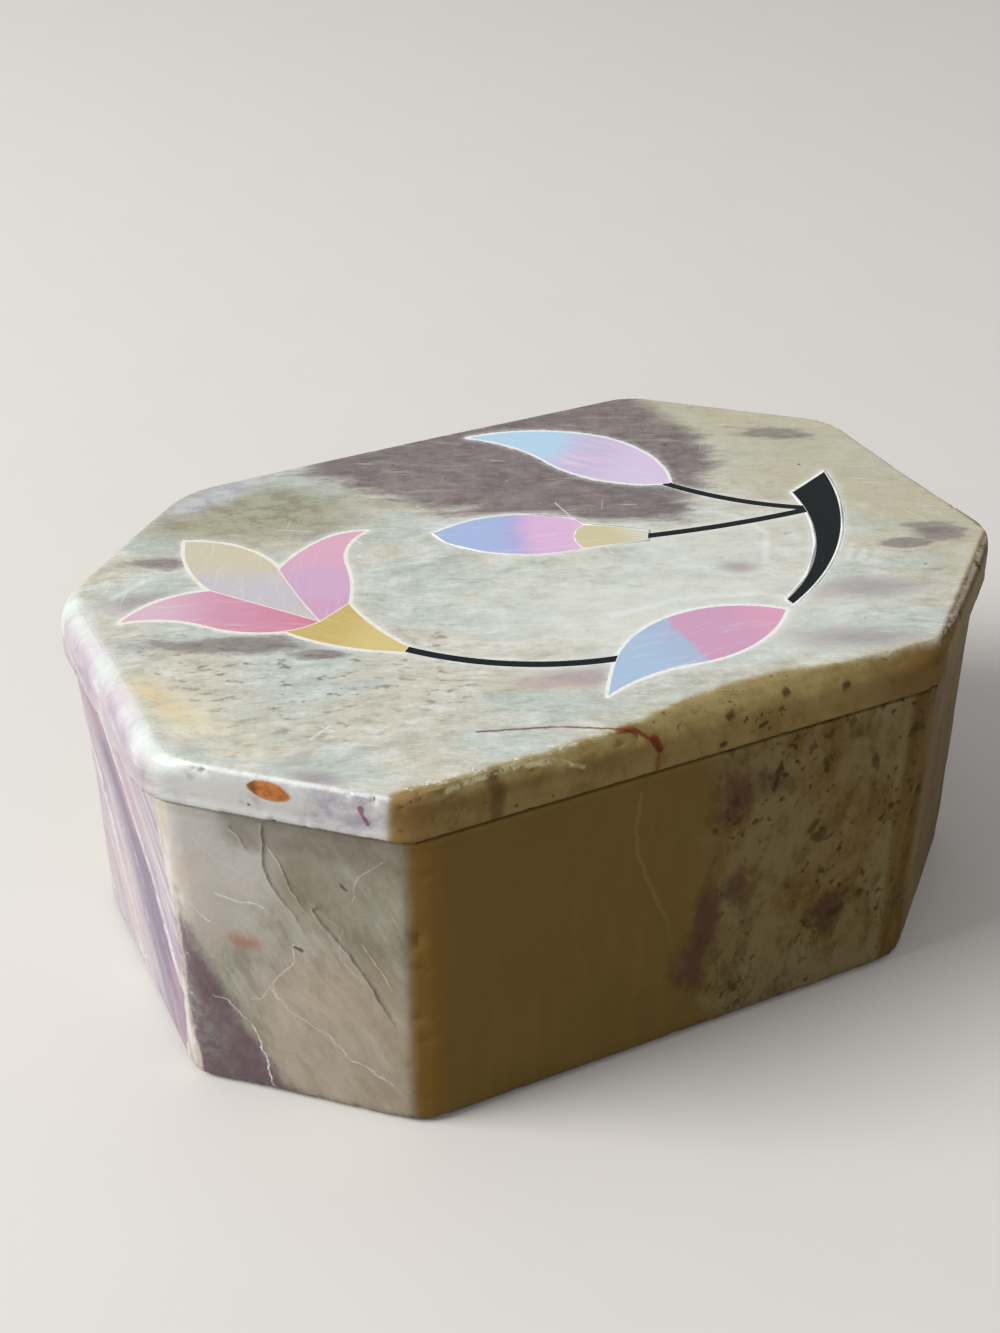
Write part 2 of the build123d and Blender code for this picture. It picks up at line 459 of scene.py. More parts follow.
def beside_path(across, up, path):
    """Each point's distance right of a path, left being less than 0, and the share of the path passed."""
    nearest = np.full(len(across), np.inf)
    side = np.zeros(len(across))
    passed = np.zeros(len(across))
    for number, (start, end) in enumerate(zip(path, path[1:])):
        run = np.array(end) - np.array(start)
        share = ((across - start[0]) * run[0] + (up - start[1]) * run[1]) / (run @ run)
        share = np.clip(share, 0, 1)
        gap_across = across - start[0] - share * run[0]
        gap_up = up - start[1] - share * run[1]
        gap = np.hypot(gap_across, gap_up)
        closer = gap < nearest
        nearest = np.where(closer, gap, nearest)
        side = np.where(closer, np.sign(gap_up * run[0] - gap_across * run[1]), side)
        passed = np.where(closer, (number + share) / (len(path) - 1), passed)
    return nearest * side, passed


face_start = Vector((*base_plan[0], 0))
face_along = (Vector((*base_plan[1], 0)) - face_start).normalized()
face_outward = Vector((face_along.y, -face_along.x, 0))


def on_front_left_face(places):
    """Where points are along the front left face, above the floor, and in front of the face."""
    from_start = places - np.array(face_start)
    return from_start @ np.array(face_along), places[:, 2], from_start @ np.array(face_outward)


def wavering(along, up):
    """Shifts places along the face a little, back and forth with height, as a crack wanders."""
    wander = np.sin(up * 1.3) + 0.6 * np.sin(up * 3.1 + 1) + 0.25 * np.sin(up * 7 + along)
    return along + crack_waver / 2 * wander


places = points_of(base)
along, up, before = on_front_left_face(places)
near = np.zeros(len(places), bool)
for path in crack_paths:
    beside, passed = beside_path(wavering(along / mm, up / mm), up / mm, path)
    near |= np.abs(beside) < crack_reach
near &= before > -0.4 * mm
pick(base, "FACE", lambda face: all(near[corner] for corner in face.vertices))
bpy.ops.mesh.subdivide(number_cuts=3)
bpy.ops.object.mode_set(mode="OBJECT")

places = points_of(base)
along, up, before = on_front_left_face(places)
lowered = np.zeros(len(places))
crack_shadow = np.zeros(len(places))
crack_highlight = np.zeros(len(places))
flake = np.zeros(len(places))
for path, depth, back_after in zip(crack_paths, crack_depths, crack_returns):
    beside, passed = beside_path(wavering(along / mm, up / mm), up / mm, path)
    ends = smooth_rise(0, 0.1, passed) * smooth_rise(0, 0.25, 1 - passed)
    ledge = smooth_rise(-0.08, 0.1, beside) * (1 - smooth_rise(0.1, back_after, beside))
    lowered = np.maximum(lowered, depth * ends * ledge)
    # A thin line just right of each crack, kept for a painted shadow of the step that faces away from the
    # light.
    crack_shadow = np.maximum(crack_shadow, ends * (1 - smooth_rise(0.0, 0.13, np.abs(beside - 0.06))))
    # A thin line just left of each crack, kept for a painted highlight where the lip catches the light.
    crack_highlight = np.maximum(crack_highlight, ends * (1 - smooth_rise(0.0, 0.16, np.abs(beside + 0.12))))
    lower = smooth_rise(0, 0.3, beside) * (1 - smooth_rise(1, back_after + 1, beside))
    flake = np.maximum(flake, ends * lower)
on_face = smooth_rise(-1.5 * mm, -0.5 * mm, before)
places -= (mm * lowered * on_face)[:, None] * np.array(face_outward)
move_points(base, places)
keep_on_points(base, "crack_shadow", crack_shadow * on_face)
keep_on_points(base, "crack_highlight", crack_highlight * on_face)
keep_on_points(base, "flake", flake * on_face)

below_rim = 1 - smooth_rise(base_height - 0.9 * mm, base_height - 0.3 * mm, points_of(base)[:, 2])
edge = edge_distance(points_of(base), base_plan, 0, base_height)
keep_on_points(base, "edge", (1 - smooth_rise(0.2 * mm, 1.6 * mm, edge)) * (0.3 + 0.7 * below_rim))
keep_on_points(base, "whole", below_rim)
wear_down(base, "whole", depth=0.22 * mm, across=11 * mm)
wear_down(base, "edge", depth=0.12 * mm, across=3 * mm)
wear_down(base, "edge", depth=0.5 * mm, across=1.5 * mm, share=0.36)

# The left end leans out to meet the lid's rim.
lean_starts_above = 20 * mm
left_lean = 0.6 * mm
places = points_of(base)
leaning = smooth_rise(lean_starts_above, base_height, places[:, 2])
leaning = leaning * smooth_rise(-40 * mm, -48 * mm, places[:, 0])
places[:, 0] -= left_lean * leaning
move_points(base, places)
only(base)
bpy.ops.object.shade_smooth_by_angle(angle=math.radians(40))

# Stone: pale green and cream, in soft streaks that run through the block, a little across its length.
# Purple grey lies in it in patches. The faces away from the light's side are a brown olive, partly the
# stone's own colour and partly painted shade.
grain_turn = -22
cream = (206, 202, 185)
pale_green = (193, 202, 194)
stone_white = (226, 228, 222)
olive_grey = (160, 157, 138)
olive = (158, 154, 126)
purple_grey = (118, 104, 105)
purple_dark = (94, 78, 84)
purple_pale = (166, 154, 150)
lilac = (166, 150, 172)
lilac_deep = (124, 104, 134)
edge_cream = (224, 214, 198)
amber = (150, 112, 48)
# Brown olive, darkened in part as painted shade for the front, which is turned from the light.
shaded_brown_olive = (129, 106, 58)
speck_brown = (60, 44, 22)
scratch_white = (240, 242, 240)
rust = (112, 46, 20)
vein_red = (112, 58, 48)


def off_oval(across, up, half_across, half_up):
    """How far a place is from an oval's middle, as a share of the way to its outline."""
    across = across / half_across
    up = up / half_up
    return (across * across + up * up).root()


class Stone(Finish):
    """Soapstone, with the streaks and marks that the base and the lid share."""

    def __init__(self, name):
        super().__init__(name, cream)
        self.along, self.across = self.turned(grain_turn)
        wander = self.noise(self.along * 0.04, self.across * 0.08, self.z * 0.05, detail=3)
        # All later patterns sway with this one, and no pattern waits for any other.
        self.sway = (wander - 0.5) * 0.4
        drift = self.across + (wander - 0.5) * 7
        broad = self.noise(self.along * 0.05, drift * 0.12, self.z * 0.05, detail=5, roughness=0.6)
        self.mottle = self.noise(self.along * 0.28, drift * 0.5, self.z * 0.2, detail=7, roughness=0.7)
        self.streak = self.noise(self.along * 0.22, drift * 1.2, self.z * 0.2, detail=5, roughness=0.62)
        self.fine = self.noise(self.along * 0.9, drift * 2.8, self.z * 0.9, detail=4, roughness=0.7)
        self.grain = self.noise(self.along * 2.4, self.across * 5, self.z * 3, detail=2)
        self.ragged = self.noise(self.along * 0.12, drift * 0.35, self.z * 0.12, detail=7, roughness=0.65)
        self.wisp = self.noise(self.along * 0.06, drift * 0.5, 12.0, detail=4, roughness=0.6)
        self.lay(broad.rise(0.42, 0.6), pale_green)
        self.lay(self.mottle.rise(0.5, 0.66) * 0.42, olive_grey)
        self.lay(self.mottle.fall(0.34, 0.5) * 0.7, stone_white)
        self.lay(self.streak.rise(0.52, 0.7) * 0.35, olive_grey)
        self.lay(self.streak.fall(0.3, 0.46) * 0.35, stone_white)
        self.lay(self.fine.rise(0.52, 0.7) * 0.3, olive_grey)
        self.lay(self.fine.fall(0.3, 0.47) * 0.45, stone_white)
        self.lay(self.grain.rise(0.52, 0.75) * 0.25, olive_grey)

    def patch(self, x, y, half_length, half_width, turn=grain_turn, wisps=1.4, edge=0.3):
        """1 inside a wispy oval seen from above, given in millimetres, and 0 outside."""
        away = off_oval(*self.turned(turn, x, y), half_length, half_width)
        wisp = (self.ragged - 0.5) * wisps + (self.mottle - 0.5) * wisps
        return (away + wisp).fall(1 - edge, 1 + edge)

    def by_side(self, start, end):
        """How far out the surface lies toward a side of the plan, given by its corners, and how far along."""
        start, end = Vector(start) / mm, Vector(end) / mm
        run = (end - start).normalized()
        along = (self.x - start.x) * run.x + (self.y - start.y) * run.y
        return self.x * run.y - self.y * run.x, along

    def within(self, corners, wisps, edge):
        """1 inside an outline seen from above, its corners anticlockwise, with a wispy edge."""
        deepest = None
        for (x, y), (next_x, next_y) in zip(corners, corners[1:]):
            run = math.hypot(next_x - x, next_y - y)
            inward = (self.x - x) * ((y - next_y) / run) + (self.y - y) * ((next_x - x) / run)
            deepest = inward if deepest is None else deepest.least(inward)
        wisp = (self.wisp - 0.5) * wisps + (self.fine - 0.5) * wisps * 0.3
        return (deepest + wisp).rise(-edge, edge)

    def scratches(self, turn, seed, length=8.0, width=0.12, least=0.7):
        """Long thin scratches of one direction on a level surface."""
        along, across = self.turned(turn)
        lines = self.noise(along / length + seed, across * 0.35 / width, seed, detail=1)
        return lines.rise(least, least + 0.05)

    def purple(self, mask):
        """Purple grey, clouded and streaked with darker and paler."""
        self.lay(mask * 0.9, purple_grey)
        self.lay(mask * self.mottle.rise(0.47, 0.66) * 0.4, purple_dark)
        self.lay(mask * self.mottle.fall(0.32, 0.5) * 0.4, purple_pale)
        self.lay(mask * self.fine.fall(0.32, 0.5) * 0.3, purple_pale)
        self.lay(mask * self.fine.rise(0.52, 0.68) * 0.2, purple_dark)


stone = Stone("soapstone_base")
x, y, z = stone.x, stone.y, stone.z
mottle, fine, ragged = stone.mottle, stone.fine, stone.ragged
out_left, along_face = stone.by_side(*base_plan[:2])
out_right = stone.by_side(*base_plan[2:4])[0]
left_end = (x + (mottle - 0.5) * 4).fall(-48.2, -45.6)
front_left = out_left.rise(43.6, 44.4) * along_face.fall(23.4, 25.4)
front_right = out_right.rise(42.4, 43.6)
right_end = x.rise(46.2, 47.4)
front = y.fall(-33.0, -31.4) * (1 - front_left)
cloud = stone.noise(x * 0.08, y * 0.08, z * 0.08, detail=5)
grit = stone.noise(x * 0.9, y * 0.9, z * 0.9, detail=5, roughness=0.7)

# The left end: lilac, white and purple streaks, which fan out a little from a place far above its back.
fan = y - 38.8 + stone.sway * 8
fan = fan / (72 - z) * 2.35 + 1.08
on_left_end = stone.on(left_end)
bands = stone.noise(fan * 4.5, z * 0.03, 3.0, detail=6, roughness=0.6)
threads = stone.noise(fan * 9, z * 0.14, 6.0, detail=7, roughness=0.75)
stone.lay(left_end, (202, 192, 200))
on_left_end(bands.rise(0.48, 0.58) * 0.7, lilac)
on_left_end(bands.fall(0.36, 0.46) * 0.8, stone_white)
purple_band = (fan + (threads - 0.5) * 0.4 + (bands - 0.5) * 0.4).rise(-1.06, -0.9)
purple_band = purple_band * (fan + (threads - 0.5) * 0.5).fall(-0.6, -0.36)
on_left_end(purple_band * 0.85, (152, 138, 162))
on_left_end(purple_band * bands.rise(0.46, 0.56) * 0.6, lilac_deep)
white_streak = (fan + 1.04 + (threads - 0.5) * 0.3).size().fall(0.02, 0.08)
white_streak = white_streak.most((fan + 0.2 + (threads - 0.5) * 0.3).size().fall(0.02, 0.08))
on_left_end(white_streak * grit.rise(0.36, 0.5) * 0.8, (240, 236, 240))
on_left_end(threads.rise(0.52, 0.66) * 0.45, (140, 120, 146))
on_left_end(threads.fall(0.34, 0.46) * grit.rise(0.4, 0.54) * 0.6, (240, 232, 238))
on_left_end(cloud.rise(0.5, 0.6) * 0.35, (210, 176, 178))
on_left_end(grit.rise(0.54, 0.66) * 0.35, (158, 142, 158))

# The front left face: clouded grey beige, green white and peach at its upper left, purple at its lower left.
on_front_left = stone.on(front_left)
on_front_left(0.7, (170, 164, 147))
on_front_left(mottle.rise(0.5, 0.64) * 0.5, (146, 138, 118))
on_front_left(mottle.fall(0.34, 0.48) * 0.5, (188, 184, 170))
on_front_left(along_face.rise(14, 23) * 0.5, (150, 141, 116))
drop_across = along_face * 0.88 + z * 0.47
drop_down = z * 0.88 - along_face * 0.47
drops = stone.noise(drop_across * 0.55 + stone.sway * 6, drop_down * 0.12, 7.0, detail=6, roughness=0.65)
on_front_left(drops.rise(0.5, 0.62) * 0.45, (140, 131, 112))
on_front_left(drops.fall(0.36, 0.48) * 0.45, (202, 198, 186))
for middle, level, half_width, half_height, share, colour in [
    (1.2, 33.5, 3.0, 4.0, 0.75, (240, 238, 228)),
    (1.0, 26.5, 1.8, 4.0, 0.6, (236, 216, 194)),
    (3.0, 28.0, 2.2, 4.5, 0.6, (222, 194, 164)),
    (7.0, 30.0, 4.0, 3.4, 0.5, (212, 216, 212)),
    (5.0, 22.5, 4.0, 3.0, 0.4, (208, 202, 192)),
    (17.5, 16.0, 5.0, 4.0, 0.3, (208, 192, 170)),
    (20.5, 31.0, 3.6, 4.0, 0.3, (150, 146, 132)),
    (14.5, 31.0, 3.0, 4.0, 0.4, (132, 122, 104)),
]:
    away = off_oval(along_face - middle, z - level, half_width, half_height)
    away = away + (ragged - 0.5) * 2 + (mottle - 0.5) * 1.6
    on_front_left(away.fall(0.4, 1.5) * share, colour)
upper_left = (along_face * -0.09 + z * 0.075 - 1.1 + (mottle - 0.5) * 2.4).rise(0.0, 0.7)
on_front_left(upper_left * 0.75, (204, 206, 200))
on_front_left(upper_left * cloud.rise(0.45, 0.6) * 0.5, (214, 188, 160))
on_front_left(along_face.fall(9, 13) * z.rise(16, 27) * 0.4, (216, 210, 202))
# A painted shadow: a darker band just under the rim, where the lid's overhang shades the face.
under_rim_shadow = along_face.rise(5.0, 7.0) * (z - 31.5 + (mottle - 0.5) * 6).rise(0.0, 2.4)
on_front_left(under_rim_shadow * 0.55, (126, 116, 102))
on_front_left(along_face.rise(6, 12) * z.fall(12, 24) * 0.35, (204, 182, 162))
low_left = 1 - along_face / 12 - z / 23 + (ragged - 0.5) * 0.7
low_left = low_left.rise(-0.08, 0.16) * front_left
stone.purple(low_left)
stone.lay(low_left * 0.4, (112, 84, 104))
stone.lay(low_left * cloud.rise(0.48, 0.6) * grit.rise(0.42, 0.6) * 0.5, (150, 156, 146))
smudge_place = stone.at(along_face, z + (grit - 0.5) * 2)
smudge = stone.off_line(smudge_place, [(6.4, 20.3), (8.2, 20.5)]) + (mottle - 0.5) * 2
on_front_left(smudge.fall(-0.2, 1.7) * 0.7, (178, 118, 92))
edge_streaks = stone.noise(along_face * 1.1, z * 0.16, 4.0, detail=5, roughness=0.6)
edge_width = z.rise(20, 28) * 0.4 + z.fall(2, 9) * 0.9 + 0.12
corner_edge = (along_face + 0.3 + (edge_streaks - 0.5) * 2.6 + (grit - 0.5) * 1.2).size() - edge_width
corner_edge = corner_edge.fall(-0.3, 0.5) * x.fall(-46, -44)
stone.lay(corner_edge * 0.8, edge_cream)
stone.lay(corner_edge * edge_streaks.rise(0.46, 0.56) * 0.8, (238, 236, 230))
stone.lay(corner_edge * edge_streaks.fall(0.36, 0.42) * z.fall(8, 24) * 0.7, purple_pale)

# Pale veins and scratches of the front left face, each as its points along the face and above the floor.
white_veins = [
    ([(3.4, 12.4), (4.9, 11.6), (7.0, 9.3)], 0.02, 0.6),
    ([(7.0, 9.1), (7.7, 6.4), (8.6, 4.6), (8.7, 2.4), (9.7, 0.0)], 0.05, 1.0),
    ([(12.7, 21.6), (12.2, 18.9), (9.9, 15.6), (10.1, 13.8), (15.6, 9.5), (22.0, 4.7)], 0.02, 0.5),
    ([(9.9, 15.4), (8.6, 13.2), (7.2, 12.6)], 0.02, 0.4),
    ([(4.6, 26.2), (6.4, 25.6), (8.3, 25.9), (9.4, 25.2)], 0.02, 0.8),
    ([(14.3, 27.2), (17.2, 24.0), (17.9, 20.5), (19.6, 17.9)], 0.02, 0.3),
    ([(21.8, 33.6), (19.6, 31.5), (18.9, 28.4)], 0.02, 0.3),
    ([(2.0, 24.6), (2.7, 23.2), (3.8, 22.4)], 0.03, 0.9),
    ([(1.8, 33.5), (5.2, 30.6), (9.2, 29.0)], 0.02, 0.3),
]
sway = stone.noise(along_face * 0.35, z * 0.35, 2.0, detail=3, roughness=0.4)
swayed_along = along_face + (grit - 0.5) * 0.2 + (sway - 0.5) * 2.4
face_place = stone.at(swayed_along, z + (sway - 0.5) * 2)
broken = fine.rise(0.4, 0.52)
for path, width, share in white_veins:
    vein = stone.off_line(face_place, path)
    on_front_left(vein.fall(width, width + 0.12) * (broken * 0.6 + 0.4) * share, scratch_white)
stone.lay(stone.kept("flake") * 0.35, (132, 122, 100))
# Painted shadow: a thin dark line along each crack's step.
stone.lay(stone.kept("crack_shadow") * 0.4, (92, 78, 60))
# Painted highlight: a thin pale line along each crack's lip.
stone.lay(stone.kept("crack_highlight") * (grit.rise(0.42, 0.56) * 0.6 + 0.25), (224, 212, 190))
for middle, level in [(18.1, 29.8), (13.1, 20.9)]:
    mark = stone.off_line(face_place, [(middle - 0.3, level + 0.3), (middle + 0.2, level - 0.2)])
    on_front_left(mark.fall(0.08, 0.25) * 0.8, (84, 74, 66))

# The front: an even brown olive on the left, partly painted shade, mottled and speckled on the right, amber
# at the corner with a painted glow.
speckled = (x + (ragged - 0.5) * 26).rise(-1, 9)
down = stone.noise(x * 0.5, y * 0.5, z * 0.07, detail=5, roughness=0.6)
on_front = stone.on(front)
on_speckled = stone.on(front * speckled)
# Brown olive over the whole front: partly the stone's colour, partly painted shade for a face turned from the
# light.
stone.lay(front, shaded_brown_olive)
on_front(down.rise(0.48, 0.62) * 0.35, (138, 114, 61))
on_front(z.fall(2, 26) * cloud.rise(0.4, 0.6) * 0.4, (114, 92, 44))
on_speckled(0.35, (120, 100, 60))
on_speckled(cloud.rise(0.42, 0.58) * 0.6, (150, 138, 100))
on_speckled(mottle.rise(0.46, 0.62) * 0.6, (148, 132, 95))
on_speckled(mottle.fall(0.38, 0.5) * 0.5, (98, 76, 42))
on_front(x.rise(20, 30) * down.rise(0.46, 0.58) * 0.5, (150, 136, 102))
on_front(x.rise(20, 30) * down.fall(0.38, 0.5) * 0.4, (104, 82, 46))
# Amber at the front left corner: partly the stone's colour, partly a painted glow of light passing through
# the thin translucent corner.
corner_amber_and_glow = x.rise(-30.6, -29.4) * x.fall(-28.6, -25.6)
on_front(corner_amber_and_glow * 0.45, amber)
purple_spots = [
    (6.0, 31.2, 3.0, 3.4),
    (3.4, 16.0, 1.8, 4.5),
    (6.2, 19.0, 1.4, 2.6),
    (18.6, 11.0, 2.0, 3.0),
    (1.6, 9.6, 2.0, 3.4),
]
for middle, level, half_width, half_height in purple_spots:
    away = off_oval(x - middle, z - level, half_width, half_height) + (mottle - 0.5) * 3
    on_front(away.fall(0.3, 1.6) * 0.75, (92, 64, 54))
clusters = stone.noise(x * 0.13, 2.0, z * 0.09, detail=3)
blots = stone.noise(x * 0.62, y * 0.6, z * 0.42, detail=2, roughness=0.4)
strings = stone.noise(x * 0.7, 5.0, z * 0.22, detail=4, roughness=0.6) - 0.5
spots = (blots + (grit - 0.5) * 0.1).rise(0.59, 0.68)
dots = stone.noise(x * 0.95, y * 0.95, z * 0.8, detail=1)
spots = spots.most(dots.rise(0.6, 0.7))
spots = spots.most(strings.size().fall(0.002, 0.02) * z.fall(6, 20) * 0.8)
on_speckled(spots * clusters.rise(0.4, 0.54) * 0.75, speck_brown)
front_place = stone.at(x + (grit - 0.5) * 1.2, z)
pale_points = [(-5.4, 35), (-5.9, 31), (-5.5, 27.4), (-3.6, 22.1), (-1.4, 16.8), (-0.6, 12)]
pale_vein = stone.off_line(front_place, pale_points).fall(0.05, 0.35) * z.rise(11, 22)
on_front(pale_vein * 0.35, (166, 142, 92))

# The front right cut and the right end: brown, partly the stone's colour and partly painted shade, streaked
# downwards.
on_front_right = stone.on(front_right)
# Brown of the faces turned from the light: partly the stone's colour, partly painted shade.
stone.lay(front_right.most(right_end * 0.8), (117, 92, 46))
stone.lay(right_end * down.rise(0.4, 0.6) * 0.5, (150, 132, 92))
on_front_right(down.rise(0.46, 0.6) * 0.7, (98, 74, 34))
on_front_right(down.fall(0.34, 0.46) * 0.5, (130, 106, 56))
on_front_right(spots * clusters.rise(0.5, 0.56) * 0.7, speck_brown)

# Inside, the hollow shows the marks of the grinding, without the polish of the outside.
across, deep = x.size(), y.size()
cut = Vector((base_cut_across, base_cut_along)).normalized()
inside = across.fall(42.4, 42.8) * deep.fall(28.2, 28.6) * (across * cut.x + deep * cut.y).fall(39.2, 39.8)
inside = inside * z.rise(4.0, 5.0)
stone.lay(inside * 0.6, (200, 198, 188))
stone.lay(inside * strings.size().rise(0.02, 0.1) * 0.25, olive_grey)
underneath = z.fall(0.2, 0.5)
stone.lay(underneath * 0.5, (188, 184, 172))

edge_shade = stone.kept("edge")
plain_edge = (1 - front) * (1 - front_right)
stone.lay(edge_shade.rise(0.55, 1.0) * grit.rise(0.58, 0.66) * plain_edge * 0.7, stone_white)
stone.lay(edge_shade.rise(0.6, 1.0) * z.rise(36.3, 36.6) * front * 0.5, (176, 160, 116))
tooled = stone.noise(x * 1.4, y * 0.3, z * 0.3, detail=3)
polished = (1 - inside) * (1 - underneath)
stone.finish(
    roughness=0.42 + (1 - polished) * 0.35,
    coat=polished * plain_edge * 0.3,
    coat_roughness=0.2,
    ior=1.12,
    height=fine * 0.4 + grit * 0.5 + tooled * inside * 1.5,
    depth=0.06,
)
stone.cover(base)
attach(base, "base")
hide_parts("base")


# Lid: a second slab of the same stone, ground to match the base, with a step below that drops into the
# hollow. Its top edge is rounded broadly at the left and sharp at the front left.
lid_length = 100.0 * mm
lid_width = 67.8 * mm
lid_cut_along = 20.0 * mm
lid_cut_across = 17.7 * mm
lid_top = 41.8 * mm
lid_roundings = [7.0, 4.0, 8.0, 8.0, 8.0, 9.0, 12.0, 11.0]
lid_grid = 0.42 * mm
step_depth = 2.5 * mm
step_clearance = 0.5 * mm
step_bevel = 0.8 * mm
lid_bottom_rounding = 0.12 * mm
# The radius of the top edge's rounding, by the direction from the lid's middle, in degrees.
rim_by_direction = [
    (-180, 3.2),
    (-165, 3.2),
    (-160, 2.0),
    (-156, 0.6),
    (-137, 0.6),
    (-132, 0.8),
    (-126, 1.8),
    (-104, 2.2),
    (-94, 3.0),
    (-60, 3.2),
    (-49, 2.8),
    (-45, 1.6),
    (-40, 0.8),
    (-18, 0.8),
    (0, 1.8),
    (90, 1.6),
    (148, 2.4),
    (180, 3.2),
]


def inside_plan(places, plan, roundings):
    """How far each point is inside a plan with rounded corners, and the way straight in from its outline."""
    corners = [np.array(corner) for corner in plan]
    inward_of_side = []
    depth = np.full(len(places), np.inf)
    inward = np.zeros((len(places), 2))
    for start, end in zip(corners, corners[1:] + corners[:1]):
        along = (end - start) / np.linalg.norm(end - start)
        inward_of_side.append(np.array([-along[1], along[0]]))
        from_side = (places[:, :2] - start) @ inward_of_side[-1]
        inward[from_side < depth] = inward_of_side[-1]
        depth = np.minimum(depth, from_side)
    for corner, before, after, rounding in zip(
        corners, inward_of_side[-1:] + inward_of_side[:-1], inward_of_side, roundings
    ):
        centre = corner + rounding * mm * (before + after) / (1 + before @ after)
        from_centre = places[:, :2] - centre
        in_corner = (from_centre @ np.linalg.inv([-before, -after]) > 0).all(axis=1)
        distance = np.linalg.norm(from_centre, axis=1)
        depth = np.where(in_corner, rounding * mm - distance, depth)
        inward[in_corner] = -from_centre[in_corner] / distance[in_corner, None]
    return depth, inward


lid_plan = octagon(lid_length, lid_width, lid_cut_along, lid_cut_across)
lid = sawn_block("lid_stone", lid_plan, base_height, lid_top)
round_upright_edges(lid, lid_plan, lid_roundings)
round_edges(lid, lambda point: point.z < base_height + 0.01 * mm, lid_bottom_rounding, steps=2)
step_bottom = base_height - step_depth
step = sawn_block("step", base_plan, step_bottom, base_height + 1 * mm, inside=wall + step_clearance)
round_upright_edges(step, base_plan, [hollow_rounding] * 8)
round_edges(step, lambda point: point.z < step_bottom + 0.01 * mm, step_bevel, steps=2)
cut_away(lid, step, operation="UNION")
apply_modifier(lid, "REMESH", mode="VOXEL", voxel_size=lid_grid)

places = points_of(lid)
direction = np.degrees(np.arctan2(places[:, 1], places[:, 0]))
radius = mm * np.interp(direction, *zip(*rim_by_direction))
depth, inward = inside_plan(places, lid_plan, lid_roundings)
out = np.maximum(radius - depth, 0)
up = np.maximum(radius - (lid_top - places[:, 2]), 0)
share = np.where((out > 0) & (up > 0), np.minimum(radius / np.maximum(np.hypot(out, up), 1e-9), 1), 1)
places[:, :2] += inward * (out * (1 - share))[:, None]
places[:, 2] -= up * (1 - share)
move_points(lid, places)
edge = edge_distance(places, lid_plan, base_height, lid_top)
rim = 1 - smooth_rise(0.2 * mm, 1.6 * mm, edge)
above_joint = 0.35 + 0.65 * smooth_rise(base_height + 0.5 * mm, base_height + 1.2 * mm, places[:, 2])
top_side = smooth_rise(lid_top - 0.3 * mm, lid_top - 0.05 * mm, places[:, 2])
keep_on_points(lid, "edge", rim * above_joint)
keep_on_points(lid, "sides", (1 - top_side) * above_joint)
wear_down(lid, "sides", depth=0.2 * mm, across=9 * mm)
wear_down(lid, "edge", depth=0.1 * mm, across=3 * mm)
wear_down(lid, "edge", depth=0.45 * mm, across=1.2 * mm, share=0.36)

# Recesses: each is sawn out of the top for one group of pieces. Its outline is the CAD tray's,
# with the small waver of a hand saw.
saw_waver = 0.14 * mm
waver_across = 2 * mm
groups = ["flower_cement", "lower_leaf_cement", "main_stem_cement", "middle_bud_cement", "back_bud_cement"]
thin_stems = ["flower_stem", "middle_bud_stem", "back_bud_stem"]
above_lid = 1.0 * mm


def cad_copy(node, name):
    """A merged copy of a CAD node's mesh, to cut with."""
    copy = bpy.data.objects.new(name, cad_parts[node].data.copy())
    bpy.context.collection.objects.link(copy)
    only(copy)
    bpy.ops.object.mode_set(mode="EDIT")
    bpy.ops.mesh.select_all(action="SELECT")
    bpy.ops.mesh.remove_doubles(threshold=0.001 * mm)
    bpy.ops.object.mode_set(mode="OBJECT")
    return copy


def recess_block(node, waver):
    """A block that fills the recess of a CAD node from its underside to above the lid."""
    block = cad_copy(node, node + "_recess")
    underside = min(vertex.co.z for vertex in block.data.vertices)
    pick(block, "FACE", lambda face: face.center.z > underside + 0.01 * mm or abs(face.normal.z) < 0.5)
    bpy.ops.mesh.delete(type="FACE")
    bpy.ops.mesh.select_all(action="SELECT")
    bpy.ops.mesh.dissolve_limited(angle_limit=math.radians(0.5))
    bpy.ops.mesh.select_all(action="SELECT")
    bpy.ops.mesh.subdivide(number_cuts=3)
    bpy.ops.object.mode_set(mode="OBJECT")
    if waver:
        noise = bpy.data.textures.new("saw_waver", "CLOUDS")
        noise.noise_scale = waver_across
        for axis in "XY":
            apply_modifier(
                block,
                "DISPLACE",
                texture=noise,
                texture_coords="LOCAL",
                direction=axis,
                strength=waver,
            )
    only(block)
    bpy.ops.object.mode_set(mode="EDIT")
    bpy.ops.mesh.select_all(action="SELECT")
    bpy.ops.mesh.extrude_region_move(
        TRANSFORM_OT_translate={"value": (0, 0, lid_top + above_lid - underside)}
    )
    bpy.ops.mesh.select_all(action="SELECT")
    bpy.ops.mesh.normals_make_consistent(inside=False)
    bpy.ops.object.mode_set(mode="OBJECT")
    return block


recesses = {node: recess_block(node, saw_waver) for node in groups}
for node in groups:
    only(recesses[node])
    bpy.ops.object.duplicate()
    cut_away(lid, bpy.context.object, solver="MANIFOLD")
for node in thin_stems:
    cut_away(lid, recess_block(node, 0), solver="MANIFOLD")
only(lid)
bpy.ops.object.shade_smooth_by_angle(angle=math.radians(40))
for face in lid.data.polygons:
    if face.center.z > lid_top - 0.06 * mm:
        face.use_smooth = False

